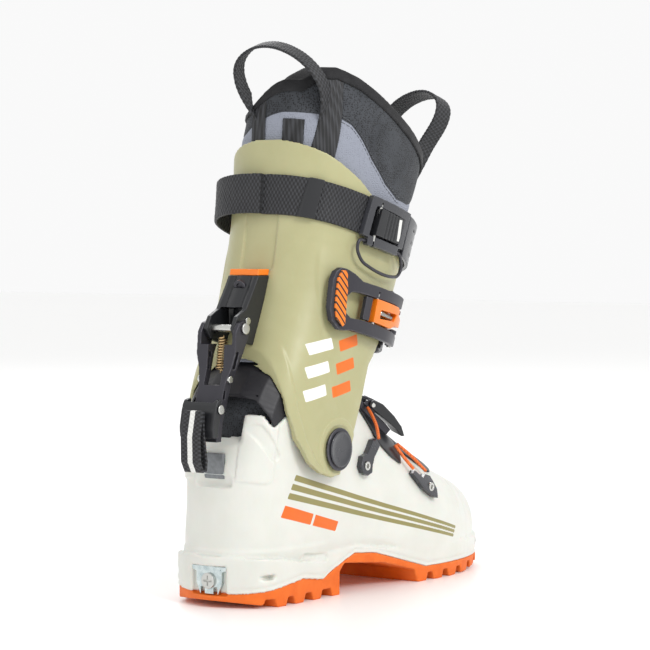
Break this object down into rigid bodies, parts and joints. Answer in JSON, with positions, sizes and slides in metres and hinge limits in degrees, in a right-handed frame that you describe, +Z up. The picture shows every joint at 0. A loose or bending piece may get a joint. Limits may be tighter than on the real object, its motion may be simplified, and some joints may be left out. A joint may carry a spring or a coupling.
{
  "type": "alpine touring ski boot",
  "caption": "Ski boot for the right foot with a hinged cuff, walk and ski lock, buckle levers, strap and removable liner.",
  "frame": {"origin": "middle of the second heel lug, on the face that touches the ground", "axes": "+X to the toe, +Y to the inner side of the foot, +Z up along the height of the boot"},
  "size_m": [0.302, 0.1146, 0.3573],
  "materials": {
    "outsole_rubber": "matte orange rubber",
    "shell_plastic": "fine moulded texture, pale grey-white",
    "cuff_plastic": "fine moulded texture, sage green",
    "black_plastic": "moulded black plastic",
    "grey_plastic": "smooth dark grey plastic",
    "orange_plastic": "smooth orange plastic",
    "steel_zinc": "zinc plated steel",
    "steel_dark": "dark coated steel",
    "rivet_steel": "bright steel",
    "spring_steel": "bronze coloured spring wire",
    "webbing_black": "woven polyester webbing",
    "liner_fabric": "grey laminated fabric with black mesh",
    "binding_tape": "black folded tape",
    "gaiter_rubber": "soft black rubber",
    "cable_orange": "orange coated steel cable",
    "insole_foam": "foam insole with cloth top"
  },
  "bodies": {
    "shell": {"outsole": "outsole_rubber", "lower_shell": "shell_plastic", "heel_insert": "steel_zinc", "heel_insert_screw": "steel_zinc", "toe_inserts": "rivet_steel", "boot_board": "black_plastic", "insole": "insole_foam", "liner_foot": "liner_fabric", "ankle_gaiter": "gaiter_rubber", "pivot_rivets": "rivet_steel", "pivot_caps": "grey_plastic", "lock_plate": "steel_dark", "instep_shield": "black_plastic", "toe_shield": "black_plastic", "instep_base": "steel_dark", "instep_pin": "rivet_steel", "cable_anchors": "grey_plastic", "anchor_screws": "rivet_steel", "ankle_cable": "cable_orange", "toe_cable": "cable_orange"},
    "cuff": {"cuff_shell": "cuff_plastic", "power_strap": "webbing_black", "strap_keeper": "webbing_black", "strap_cam_frame": "black_plastic", "strap_plate": "black_plastic", "liner_cuff": "liner_fabric", "liner_tongue": "liner_fabric", "liner_binding": "binding_tape", "rear_pull_loop": "webbing_black", "front_pull_loop": "webbing_black", "side_webbing": "webbing_black", "spine_bracket": "black_plastic", "bracket_trim": "orange_plastic", "bracket_screw": "rivet_steel", "bracket_rivets": "rivet_steel", "lock_arm_pin": "rivet_steel", "buckle_base": "steel_dark", "buckle_ladder": "black_plastic", "strap_cam_pin": "rivet_steel", "buckle_pins": "rivet_steel"},
    "lock_arm": {"lock_arm": "steel_dark", "lock_spring": "spring_steel", "lock_arm_rivets": "rivet_steel", "release_lever_pin": "rivet_steel"},
    "release_lever": {"release_lever": "black_plastic", "release_strap": "webbing_black"},
    "cuff_lever": {"cuff_lever": "steel_dark", "lever_grip_insert": "orange_plastic", "lever_crossbar": "steel_dark", "catch_pin": "rivet_steel"},
    "buckle_catch": {"buckle_catch": "orange_plastic", "catch_screw": "rivet_steel"},
    "strap_cam": {"strap_cam_lever": "black_plastic"},
    "pull_ring": {"strap_pull_ring": "black_plastic"},
    "instep_lever": {"instep_lever": "black_plastic"}
  },
  "joints": [
    {"name": "cuff_hinge", "type": "hinge", "parent": "shell", "child": "cuff", "pos_m": [0.028, 0, 0.096], "axis": [0, 1, 0], "range_deg": [-15, 15]},
    {"name": "lock_arm_hinge", "type": "hinge", "parent": "cuff", "child": "lock_arm", "pos_m": [-0.028, 0, 0.174], "axis": [0, 1, 0], "range_deg": [0, 22]},
    {"name": "release_lever_hinge", "type": "hinge", "parent": "lock_arm", "child": "release_lever", "pos_m": [-0.0502, 0, 0.1245], "axis": [0, 1, 0], "range_deg": [0, 35]},
    {"name": "cuff_lever_hinge", "type": "hinge", "parent": "cuff", "child": "cuff_lever", "pos_m": [0.08888, -0.045, 0.15789], "axis": [0.3047, -0.0498, 0.9511], "range_deg": [0, 110]},
    {"name": "buckle_catch_hinge", "type": "hinge", "parent": "cuff_lever", "child": "buckle_catch", "pos_m": [0.05341, -0.05567, 0.17224], "axis": [-0.2621, 0.0508, -0.9637], "range_deg": [0, 15]},
    {"name": "strap_cam_hinge", "type": "hinge", "parent": "cuff", "child": "strap_cam", "pos_m": [0.05339, -0.05656, 0.22766], "axis": [-0.2984, 0.0772, -0.9513], "range_deg": [0, 60]},
    {"name": "pull_ring_hinge", "type": "hinge", "parent": "cuff", "child": "pull_ring", "pos_m": [0.0449, -0.05452, 0.22962], "axis": [-0.9739, 0.0317, 0.2248], "range_deg": [0, 80]},
    {"name": "instep_lever_hinge", "type": "hinge", "parent": "shell", "child": "instep_lever", "pos_m": [0.10143, -0.02089, 0.12047], "axis": [-0.5443, -0.8278, -0.1356], "range_deg": [0, 65]}
  ]
}
